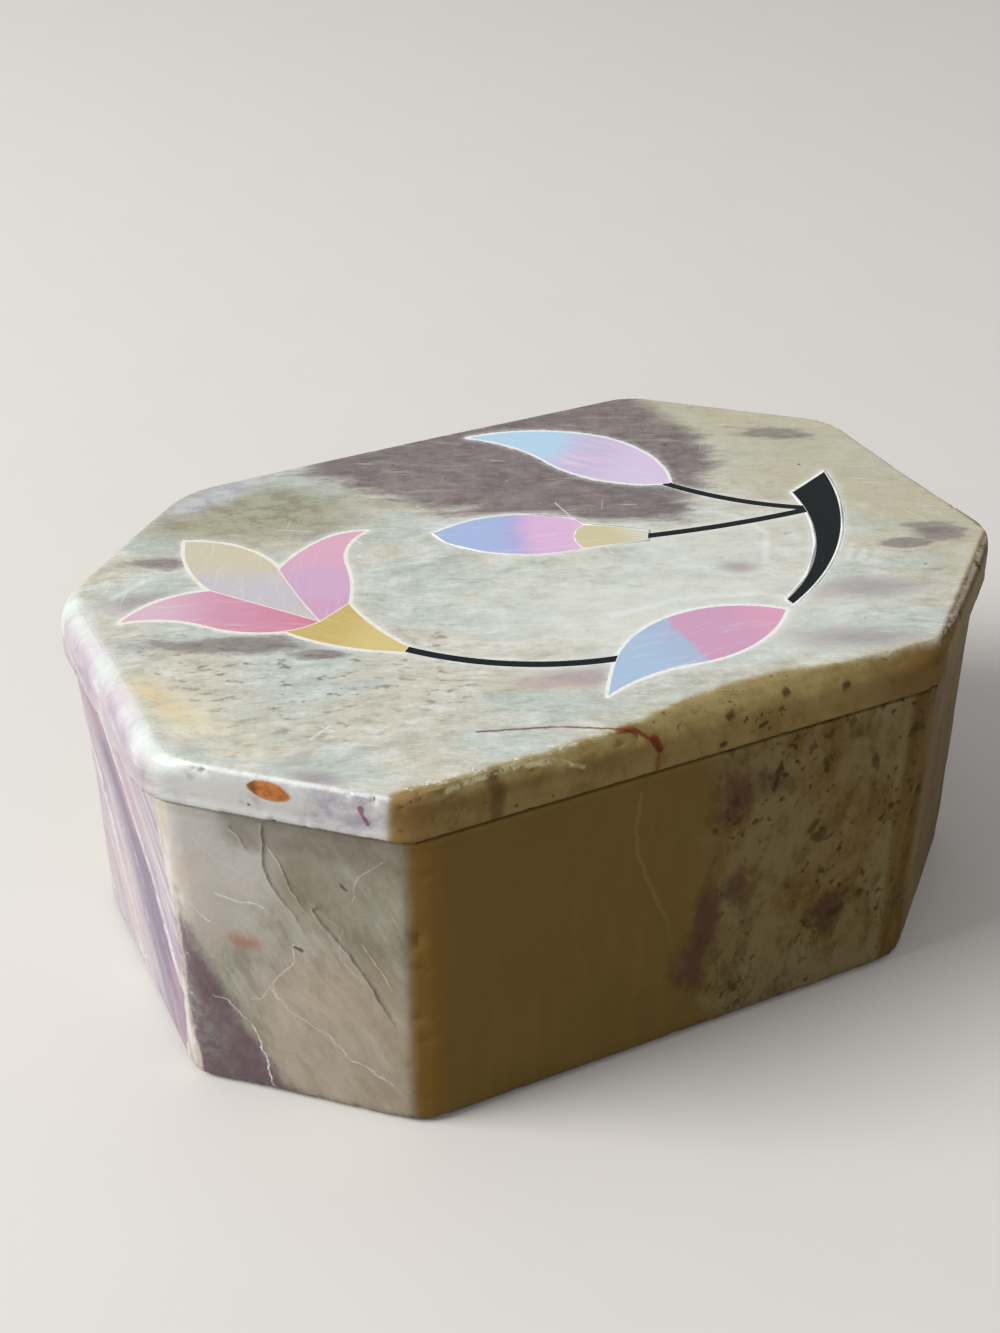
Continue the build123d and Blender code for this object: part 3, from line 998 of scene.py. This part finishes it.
# The cement left a pale smear on the stone round each piece.
outline_step = 0.15 * mm
outline = []
stems = [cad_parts[node] for node in ["main_stem", *thin_stems]]
for shape in [*recesses.values(), *stems]:
    for edge in shape.data.edges:
        start, end = [shape.data.vertices[point].co for point in edge.vertices]
        if abs(start.z - end.z) < 0.01 * mm:
            steps = max(1, round((end - start).length / outline_step))
            outline += [start.lerp(end, number / steps) for number in range(steps)]
smear_tree = KDTree(len(outline))
for number, place in enumerate(outline):
    smear_tree.insert((place.x, place.y, 0), number)
smear_tree.balance()
smear_reach = 1.0 * mm
smear = np.zeros(len(lid.data.vertices))
for vertex in lid.data.vertices:
    if vertex.co.z > lid_top - 0.06 * mm:
        gap = smear_tree.find((vertex.co.x, vertex.co.y, 0))[2]
        smear[vertex.index] = 1 - gap / smear_reach
keep_on_points(lid, "smear", np.clip(smear, 0, 1))

stone = Stone("soapstone_lid")
x, y, z = stone.x, stone.y, stone.z
mottle, fine, ragged = stone.mottle, stone.fine, stone.ragged
top = z.rise(41.0, 41.5)
on_top = stone.on(top)
grit = stone.noise(x * 0.9, y * 0.9, z * 0.9, detail=5, roughness=0.7)
cloud = stone.noise(x * 0.09, y * 0.09, z * 0.09, detail=5)
purple_corners = [
    (-16.8, 34),
    (-12.2, 26.2),
    (-5.8, 16.4),
    (1, 11.4),
    (10.6, 5.4),
    (19.2, 1.2),
    (30.4, 13),
    (31.6, 20),
    (30, 34),
]
purple_ovals = [
    (40.5, 15.5, 5, 1.6, -35),
    (44, -13.6, 3.2, 2.0, -40),
    (39.2, -14.2, 3.0, 1.0, -25),
    (-35, -1.8, 9, 1.6, -24),
    (-36, 17, 6, 1.2, -24),
    (-28, -7.2, 3, 0.9, -25),
]
pale_ovals = [
    (23, -28.0, 6.0, 1.6, -25),
    (29, -20.0, 6.0, 1.8, -20),
    (19.5, -10.5, 1.8, 1.0, -25),
    (-41, 10, 4, 2, -20),
    (-6, -22.5, 5, 1.2, -20),
    (-36, -26.6, 2.6, 0.8, -41),
]
stone.lay(stone.patch(-25, 24, 14, 7, turn=-20, edge=0.5) * 0.75, olive)
back_left = stone.patch(-24, 23, 13, 8, turn=-20, edge=0.6)
stone.lay(back_left * mottle.rise(0.46, 0.62) * 0.5, (128, 118, 104))
stone.lay(back_left * fine.rise(0.54, 0.68) * 0.35, (104, 94, 84))
back_edge = stone.patch(-27, 29.5, 7, 1.8, turn=15, wisps=2.4, edge=0.8)
stone.lay(back_edge * 0.6, (206, 210, 216))
stone.lay(back_edge * mottle.rise(0.48, 0.56) * 0.6, (164, 154, 176))
right_cream = (x + y * 0.4 + (ragged - 0.5) * 20).rise(22, 44)
stone.lay(right_cream * 0.6, (190, 180, 146))
stone.lay(stone.patch(8, -15, 20, 9, edge=0.7) * 0.6, (228, 229, 218))
stone.lay(stone.patch(20, -4, 14, 7, edge=0.8) * 0.4, (228, 232, 224))
purple = stone.within(purple_corners, wisps=8, edge=2.2)
for oval in purple_ovals:
    purple = purple.most(stone.patch(*oval, wisps=2.2, edge=0.4) * 0.8)
stone.purple(purple)
for oval in pale_ovals:
    stone.lay(stone.patch(*oval, wisps=2.2, edge=0.8) * 0.6, (156, 138, 148))
wisps = stone.noise(stone.along * 0.1, stone.across * 0.5, 8.0, detail=6, roughness=0.65)
stone.lay(purple * wisps.rise(0.56, 0.66) * 0.5, (168, 166, 152))
stone.lay(stone.patch(-10, -22, 4, 0.8, edge=0.8) * 0.5, (196, 164, 158))

# Small dark blotches, thickest near the left.
blots = stone.noise(stone.along * 0.5, stone.across * 1.0, 0.0, detail=4, roughness=0.55)
left_front = stone.patch(-33, -9, 17, 10, edge=0.7)
on_top(blots.rise(0.54, 0.7) * (left_front * 0.9 + cloud.rise(0.52, 0.66) * 0.3), (128, 116, 104))
stone.lay(stone.patch(-44.5, -10, 8, 2.6, turn=-60, wisps=2, edge=0.9) * 0.55, (230, 216, 180))
stone.lay(stone.patch(-45, -8, 4, 1.2, turn=-70, wisps=3, edge=0.9) * 0.45, (226, 202, 146))

# The rim: white and lilac at the front left, brown olive at the front, partly the stone's colour and partly
# painted shade, white and lilac at the left end.
out_left, along_face = stone.by_side(*lid_plan[:2])
out_right = stone.by_side(*lid_plan[2:4])[0]
front_left = out_left.rise(44.3, 44.8) * along_face.fall(23.8, 25.6)
bow = x.rise(-8, 4) * x.fall(9, 24)
front_edge = bow * 1.9 - 32.0 + (mottle - 0.5) * 1.4 + (cloud - 0.5) * 1.6
past_edge = (y - front_edge) * -1
not_left = (1 - front_left) * along_face.rise(24, 25.6)
front = past_edge.rise(-0.6, 0.6) * not_left
front_right = out_right.rise(43.6, 44.3)
right_end = x.rise(48.6, 49.3)
left_end = (x + (mottle - 0.5) * 2.0).fall(-48.4, -46.2)
on_front, on_front_left, on_front_right = stone.on(front), stone.on(front_left), stone.on(front_right)
stone.lay(past_edge.rise(-1.6, 0.4) * not_left * 0.45, (184, 168, 122))
on_front_left(0.9, (224, 224, 222))
on_front_left(along_face.fall(4, 12) * 0.4, (236, 240, 240))
blotches = stone.noise(along_face * 0.35, z * 0.5, 1.0, detail=5, roughness=0.65)
on_front_left(along_face.rise(14, 18) * blotches.rise(0.4, 0.6) * 0.7, (182, 178, 194))
on_front_left(blotches.rise(0.54, 0.68) * 0.5, (168, 162, 172))
near_corner = out_left.rise(42.8, 43.4) * z.fall(40.6, 41.2)
peach = (along_face - 0.4 + (blotches - 0.5) * 2).size().fall(0.5, 1.3)
stone.lay(near_corner * peach * 0.75, (230, 198, 168))
for points in [[(22.1, 40.2), (22.2, 39.6)], [(22.4, 39.2), (22.8, 38.6)]]:
    magenta = stone.off_line(stone.at(along_face, z), points)
    on_front_left((magenta + (grit - 0.5) * 1.0).fall(0.15, 0.4) * 0.8, (132, 70, 96))
low_side = z.fall(38.8, 40.2)
# Brown olive over the front rim: partly the stone's colour, partly painted shade for a face turned from the
# light.
stone.lay(front, (144, 122, 76))
on_front(z.rise(40.6, 41.4) * 0.8, (150, 134, 88))
on_front(low_side * 0.8, (162, 138, 88))
on_front(mottle.rise(0.48, 0.62) * 0.5, (122, 98, 52))
on_front(mottle.fall(0.36, 0.48) * 0.4, (168, 152, 104))
on_front(x.rise(15, 30) * 0.8, (118, 88, 48))
on_front(x.fall(-28.4, -26.6) * 0.5, (150, 112, 66))
# Brown of the faces turned from the light: partly the stone's colour, partly painted shade.
stone.lay(front_right.most(right_end * 0.8), (120, 95, 46))
on_front_right(mottle.rise(0.46, 0.6) * 0.5, (104, 78, 40))
stone.lay(right_end * (1 - front_right) * 0.5, (156, 140, 100))
on_left_end = stone.on(left_end)
on_left_end(0.75, (216, 224, 222))
on_left_side = stone.on(x.fall(-49.6, -48.4))
on_left_side(0.9, (196, 184, 192))
layer_depth = x * 0.5 - z * 0.6 + y * 0.06
left_bands = stone.noise(layer_depth, y * 0.12, 2.0, detail=5, roughness=0.6)
on_left_end(left_bands.rise(0.46, 0.62) * 0.6, (206, 186, 198))
on_left_end(left_bands.fall(0.34, 0.46) * 0.5, (232, 238, 236))
on_left_end(mottle.rise(0.54, 0.66) * 0.4, (190, 180, 184))
on_left_side(left_bands.rise(0.5, 0.62) * 0.6, (160, 146, 166))
on_left_side(left_bands.fall(0.36, 0.46) * 0.5, (226, 224, 226))
dots = stone.noise(x * 1.3, y * 1.3, z * 1.3, detail=3)
on_front(dots.rise(0.63, 0.7) * cloud.rise(0.46, 0.54) * 0.7, speck_brown)
front_place = stone.at(x + (grit - 0.5) * 0.8, z + (grit - 0.5) * 0.6)
for middle, level in [(4.7, 40.5), (3.7, 37.8), (8.3, 38.8), (11.4, 40.9), (18.2, 40.2)]:
    dark_spot = stone.off_line(front_place, [(middle - 0.2, level), (middle + 0.2, level + 0.1)])
    on_front(dark_spot.fall(0.1, 0.5) * 0.8, speck_brown)
stain = stone.off_line(front_place, [(-21.2, 41.4), (-20.6, 40.0), (-21.0, 37.4)])
on_front(stain.fall(0.2, 1.2) * 0.6, (84, 58, 40))
# A pale ridge along the front rim's top: partly worn lighter stone, partly a painted highlight on the edge.
ridge_highlight_and_wear = stone.off_line(front_place, [(-25.6, 41.4), (-18.7, 41.6), (-14.5, 41.2), (-11.3, 39.9)])
on_front(ridge_highlight_and_wear.fall(0.05, 0.35) * grit.rise(0.42, 0.54) * 0.6, (214, 206, 172))
edge_chips = (past_edge + 0.3).size().fall(0.1, 0.8) * not_left * grit.rise(0.53, 0.62)
stone.lay(edge_chips * (0.7 - x.rise(-14, -4) * 0.5), (236, 234, 216))

# Rust: an almond spot in the front left rim, and a red vein that crosses the top and runs down the front.
almond = off_oval(along_face - 13.2, z - 41.65 + along_face * 0.1, 2.17, 1.05) + (grit - 0.5) * 0.4
on_front_left_rim = stone.on(out_left.rise(43.8, 44.2) * z.fall(41.4, 41.7))
on_front_left_rim(almond.fall(0.85, 1.1), (206, 134, 74))
on_front_left_rim(almond.fall(0.7, 1.0) * grit.rise(0.45, 0.55) * 0.7, (176, 98, 44))
on_front_left_rim(almond.fall(0.9, 1.05) * along_face.fall(11.5, 12.3) * 0.8, (122, 66, 40))
place = stone.at(x + (grit - 0.5) * 0.4, y + (grit - 0.5) * 0.5)
vein = stone.off_line(place, [(-19.5, -26.4), (-16, -27.6), (-12, -29.0), (-8.2, -31.2), (-5.6, -32.6)])
stone.lay(vein.fall(0.03, 0.24) * 0.85, vein_red)
drop_place = stone.at(x + (grit - 0.5) * 0.8, z)
for path, full, gone, share in [
    ([(-7.4, 41.8), (-5.6, 41.5), (-4.0, 40.4)], 0.05, 0.3, 0.85),
    ([(-3.9, 40.4), (-3.5, 39.5)], 0.25, 0.6, 0.9),
    ([(-3.6, 39.3), (-3.8, 37.2)], 0.05, 0.4, 0.55),
]:
    on_front(stone.off_line(drop_place, path).fall(full, gone) * share, rust)

# Wear: white scratches and saw marks filled with cement, fine scratches all over, and bruised edges, with
# painted glints and painted edge highlights among them.
saw_marks = [
    [(-43.8, 7.2), (-44.8, 6.9)],
    [(-16.0, 14.4), (-13.9, 14.5)],
    [(-16.1, 13.2), (-15.6, 12.0)],
    [(-35.8, 9.4), (-34.2, 11.6), (-33.8, 9.8)],
    [(-33.3, 20.1), (-33.2, 21.6)],
    [(8.3, 5.9), (8.1, 11.1)],
    [(8.6, -0.1), (8.5, -2.0)],
    [(-4.6, -25.4), (-5.9, -26.8)],
    [(-34.3, -20.7), (-33.2, -20.1), (-31.7, -19.3)],
    [(-32.5, -19.2), (-31.6, -20.7)],
]
place = stone.at(x, y)
for path in saw_marks:
    mark = stone.off_line(place, path).fall(0.0, 0.13) * grit.rise(0.36, 0.56)
    on_top(mark * 0.8, scratch_white)
swirls = [
    [(21.6, 3.5), (25.4, -0.8), (26.2, -5.6), (22.6, -11.0)],
    [(2.0, -13.5), (10.0, -13.6), (18.0, -16.0), (21.5, -18.6)],
    [(33.4, -11.8), (31.0, -14.5)],
    [(34.2, -13.5), (32.2, -15.0)],
    [(-40.0, 14.5), (-44.0, 12.5)],
]
soft_place = stone.at(x + (grit - 0.5) * 1.6, y + (grit - 0.5) * 1.6)
for path in swirls:
    on_top(stone.off_line(soft_place, path).fall(0.1, 0.7) * 0.35, scratch_white)
for turn, seed, least in [(-30, 1.0, 0.72), (12, 5.0, 0.78), (58, 9.0, 0.77), (-75, 13.0, 0.76)]:
    on_top(stone.scratches(turn, seed, least=least) * 0.5, scratch_white)
# Painted glints: tiny white specks on the top that stand in for sparkles of light.
on_top(stone.specks(1.9, 0.12, seed=8.0) * cloud.rise(0.4, 0.6) * 0.8, scratch_white)
smear_shade = stone.kept("smear")
stone.lay(smear_shade.rise(0.0, 1.0) * fine.rise(0.36, 0.6) * 0.4, scratch_white)
rough_line = stone.noise(x * 0.45, y * 0.45, 9.0, detail=4) * 0.5 + smear_shade
stone.lay(smear_shade.rise(0.4, 0.5) * rough_line.rise(1.1, 1.2) * 0.7, scratch_white)
edge_shade = stone.kept("edge")
plain_edge = (1 - front) * (1 - front_right)
bruised = edge_shade.rise(0.5, 1.0) * grit.rise(0.56, 0.64) * plain_edge
stone.lay(bruised * out_right.fall(41.8, 42.6) * x.fall(46, 48) * 0.7, scratch_white)
# A painted highlight along the sharp top edge at the front left and front right, broken by grit like chips of
# wear.
top_edge_highlight_and_chips = (front_left * 0.8 + front_right * 0.4) * z.rise(41.4, 41.65) * z.fall(41.72, 41.79)
stone.lay(top_edge_highlight_and_chips * grit.rise(0.36, 0.5) * 0.8, scratch_white)
low_line = z.fall(36.95, 37.25) * front
stone.lay(low_line * grit.rise(0.4, 0.56) * 0.45, (186, 168, 118))
stone.lay(stone.specks(4.0, 0.25, seed=4.2) * 0.7, speck_brown)
stone.finish(
    roughness=0.36 + (1 - plain_edge) * 0.08,
    coat=plain_edge * 0.35,
    coat_roughness=0.2,
    ior=1.15,
    height=fine * 0.5 + grit * 0.5,
    depth=0.05,
)
stone.cover(lid)
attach(lid, "lid")
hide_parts("lid")


# Cement: a white filler run into each recess before the shell pieces were pressed in. It shows as a thin
# uneven line round and between them, ground flush with the stone.
pieces_in = {
    "flower_cement": ["petal_left", "petal_middle", "petal_right", "flower_calyx"],
    "lower_leaf_cement": ["lower_leaf"],
    "main_stem_cement": ["main_stem"],
    "middle_bud_cement": ["middle_bud", "middle_bud_calyx"],
    "back_bud_cement": ["back_bud"],
}
cement_white = (240, 241, 236)

cement = Finish("cement", cement_white)
crumbs = cement.noise(cement.x * 2, cement.y * 2, cement.z * 2, detail=4)
cement.lay(crumbs.rise(0.52, 0.7) * 0.5, (206, 200, 186))
cement.lay(cement.x.fall(-15, -13) * crumbs.fall(0.4, 0.6) * 0.6, (232, 212, 180))
cement.finish(roughness=0.7, height=crumbs, depth=0.05)
for node in groups:
    tray = recesses[node]
    tray.name = node + "_fill"
    only(tray)
    bpy.ops.object.mode_set(mode="EDIT")
    bpy.ops.mesh.select_all(action="SELECT")
    bpy.ops.mesh.bisect(plane_co=(0, 0, lid_top), plane_no=(0, 0, 1), use_fill=True, clear_outer=True)
    bpy.ops.object.mode_set(mode="OBJECT")
    for name in pieces_in[node] + thin_stems:
        pocket = cad_copy(name, name + "_pocket")
        places = points_of(pocket)
        places[:, 2] += np.where(places[:, 2] > lid_top - 0.01 * mm, above_lid, 0)
        move_points(pocket, places)
        cut_away(tray, pocket)
    cement.cover(tray)
    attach(tray, "lid")
    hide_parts(node)


# Shell: thin plates of dyed sea shell, sawn to the outline and ground flush. The dye is deepest at one
# end or changes colour on a ragged line, and the shell's own fine layers shine through it.
def cover_node(node, finish):
    """Gives a CAD node a finish in place of its plain colour."""
    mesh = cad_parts[node].data
    for slot in range(len(mesh.materials)):
        mesh.materials[slot] = finish.material


class Shell(Finish):
    """Dyed shell of one CAD node, its layers running in a direction, in degrees from the lid's length."""

    def __init__(self, node, colour, turn, seed=0.0):
        super().__init__("shell_" + node, colour)
        cover_node(node, self)
        self.along, self.across = self.turned(turn)
        bend = self.noise(self.along * 0.12 + seed, self.across * 0.2, detail=2)
        drift = self.across + (bend - 0.5) * 3
        self.layers = self.noise(self.along * 0.12, drift * 1.3, seed, detail=5, roughness=0.65)
        self.cloud = self.noise(self.along * 0.2, self.across * 0.35, seed + 4, detail=4)
        self.pearl = self.noise(self.along * 0.5, drift * 4.0, seed, detail=3, roughness=0.7)

    def dye(self, start, end, colour, share=1.0, ragged=2.0):
        """Another colour past a line: from a start to an end, in millimetres along the layers."""
        place = self.along + (self.layers - 0.5) * ragged + (self.cloud - 0.5) * ragged
        self.lay(place.rise(start, end) * share, colour)

    def shine(self, pale):
        self.lay(self.layers.rise(0.52, 0.72) * 0.35, pale)
        self.lay(self.pearl.rise(0.6, 0.8) * 0.3, (240, 236, 238))
        self.finish(roughness=0.3, coat=0.5, coat_roughness=0.12, height=self.pearl, depth=0.02)


pale_pearl = (236, 226, 226)
left_petal = Shell("petal_left", (220, 186, 202), turn=-20)
left_petal.dye(-42, -33, (212, 144, 168), share=0.85)
left_petal.dye(-35, -24, (216, 120, 152), share=0.7)
left_petal.shine(pale_pearl)

middle_petal = Shell("petal_middle", (210, 202, 174), turn=65, seed=2)
middle_petal.dye(0.5, -4.5, (202, 196, 202))
middle_petal.dye(-8, -11, (208, 200, 184), share=0.6)
middle_petal.shine((232, 228, 220))

right_petal = Shell("petal_right", (226, 172, 194), turn=65, seed=5)
right_petal.dye(3, -4, (212, 172, 204))
right_petal.dye(-6, -9, (214, 160, 190), share=0.7)
right_petal.shine((236, 212, 226))

gold = Shell("flower_calyx", (206, 180, 104), turn=-50, seed=7)
gold.dye(-14, -8, (218, 198, 128))
gold.shine((236, 224, 170))

leaf = Shell("lower_leaf", (172, 198, 224), turn=0, seed=9)
leaf.dye(2, 6, (176, 186, 214), share=0.7)
leaf.dye(6.5, 7.5, (212, 160, 190))
leaf.dye(11, 20, (230, 164, 192))
leaf.shine((220, 224, 236))

bud = Shell("middle_bud", (168, 188, 230), turn=-20, seed=11)
bud.dye(-5, -1, (180, 176, 226))
bud.dye(-2.5, 1.0, (226, 184, 222))
bud.dye(3, 8, (238, 198, 226))
bud.shine((232, 226, 244))

bud_cup = Shell("middle_bud_calyx", (212, 202, 160), turn=-10, seed=13)
bud_cup.dye(10, 14, (222, 218, 198))
bud_cup.shine((234, 228, 204))

back_bud = Shell("back_bud", (184, 218, 240), turn=-50, seed=15)
back_bud.dye(-10, -5, (206, 194, 226))
back_bud.dye(-4, 2, (224, 208, 238), share=0.8)
back_bud.lay(back_bud.layers.rise(0.48, 0.6) * back_bud.along.rise(-10, -4) * 0.6, (236, 198, 226))
back_bud.shine((236, 232, 244))


# Stems: strips of a close black stone, the thick one a curved horn. They are let in like the shell.
horn_black = (30, 34, 34)

black_stone = Finish("black_stone", horn_black)
grain = [part * 1.5 for part in (black_stone.x, black_stone.y, black_stone.z)]
grain = black_stone.noise(*grain, detail=5, roughness=0.7)
black_stone.lay(grain.rise(0.55, 0.75) * 0.5, (48, 54, 54))
black_stone.lay(black_stone.specks(1.6, 0.12) * 0.6, (110, 114, 112))
black_stone.finish(roughness=0.5, ior=1.2, height=grain, depth=0.03)
for node in ["main_stem", *thin_stems]:
    cover_node(node, black_stone)
